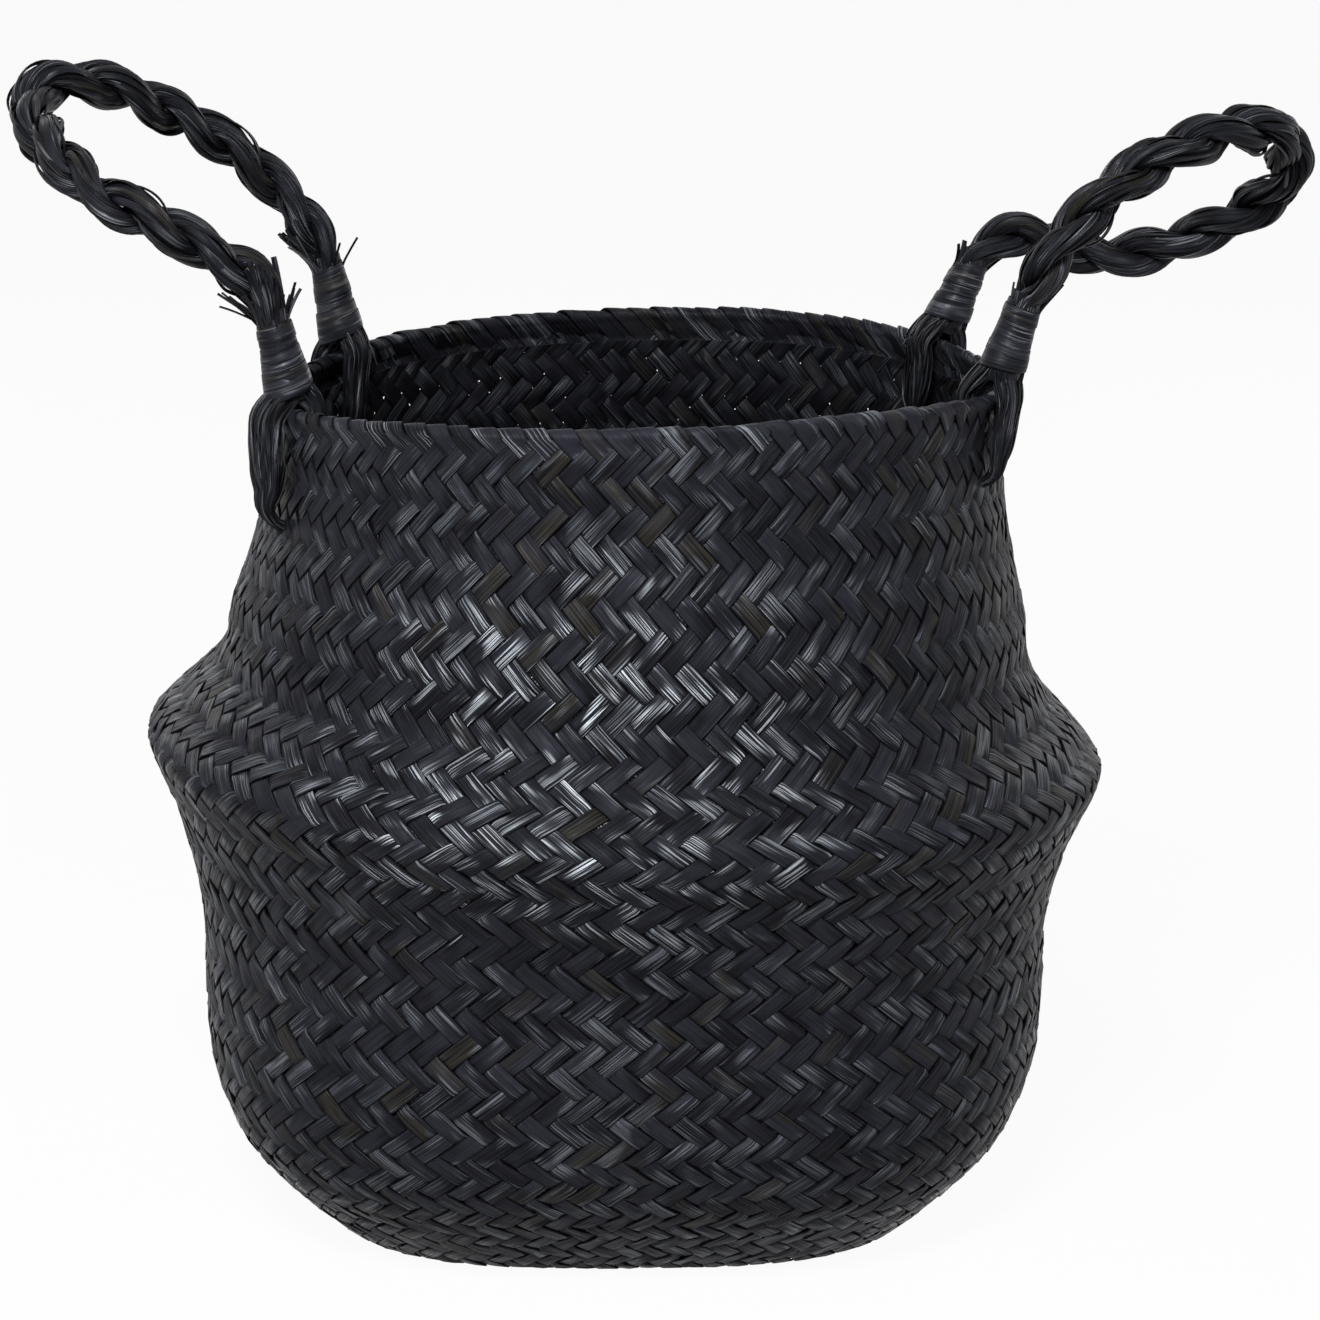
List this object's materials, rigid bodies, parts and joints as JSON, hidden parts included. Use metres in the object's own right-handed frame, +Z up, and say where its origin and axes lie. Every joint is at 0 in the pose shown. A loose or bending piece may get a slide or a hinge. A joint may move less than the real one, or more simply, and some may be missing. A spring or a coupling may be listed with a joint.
{
  "type": "belly basket",
  "caption": "Round-bellied basket woven from dyed flat plant strips, with a narrower foldable neck, a folded rim and twisted rope carrying loops lashed through the wall.",
  "frame": {"origin": "on the ground under the middle of the base mat, on the body's upright axis", "axes": "+Z up, +X towards the right handle, -Y towards the side that the picture shows"},
  "size_m": [0.4298, 0.32, 0.3776],
  "materials": {
    "wall_weave": "satin black dyed flat strips with grey glints",
    "rim_weave": "satin black dyed strips folded over",
    "base_weave": "matt black dyed flat strips",
    "handle_rope": "matt black fibrous twisted rope",
    "lashing_strip": "satin black flat strip wound round",
    "loop_fibre": "matt black loose fibres with a few bright lines"
  },
  "bodies": {
    "bowl": {"base_mat": "base_weave", "lower_wall": "wall_weave", "shoulder_wall": "wall_weave"},
    "neck": {"neck_wall": "wall_weave", "rim_border": "rim_weave", "left_front_loop": "loop_fibre", "left_back_loop": "loop_fibre", "right_front_loop": "loop_fibre", "right_back_loop": "loop_fibre"},
    "left_handle": {"left_handle_ply_a": "handle_rope", "left_handle_ply_b": "handle_rope", "left_front_bundle": "handle_rope", "left_front_lashing": "lashing_strip", "left_back_bundle": "handle_rope", "left_back_lashing": "lashing_strip"},
    "right_handle": {"right_handle_ply_a": "handle_rope", "right_handle_ply_b": "handle_rope", "right_front_bundle": "handle_rope", "right_front_lashing": "lashing_strip", "right_back_bundle": "handle_rope", "right_back_lashing": "lashing_strip"}
  },
  "joints": [
    {"name": "neck_fold", "type": "slide", "parent": "bowl", "child": "neck", "axis": [0, 0, 1], "range_m": [-0.1, 0], "deforming": ["shoulder_wall"]},
    {"name": "left_handle_swing", "type": "hinge", "parent": "neck", "child": "left_handle", "pos_m": [-0.10231, 0.01043, 0.28175], "axis": [0.0958, 0.995, 0.027], "range_deg": [-42, 100], "deforming": ["left_front_loop", "left_back_loop"]},
    {"name": "right_handle_swing", "type": "hinge", "parent": "neck", "child": "right_handle", "pos_m": [0.11779, 0.01076, 0.28598], "axis": [0.0958, -0.9954, 0], "range_deg": [-35, 105], "deforming": ["right_front_loop", "right_back_loop"]}
  ]
}
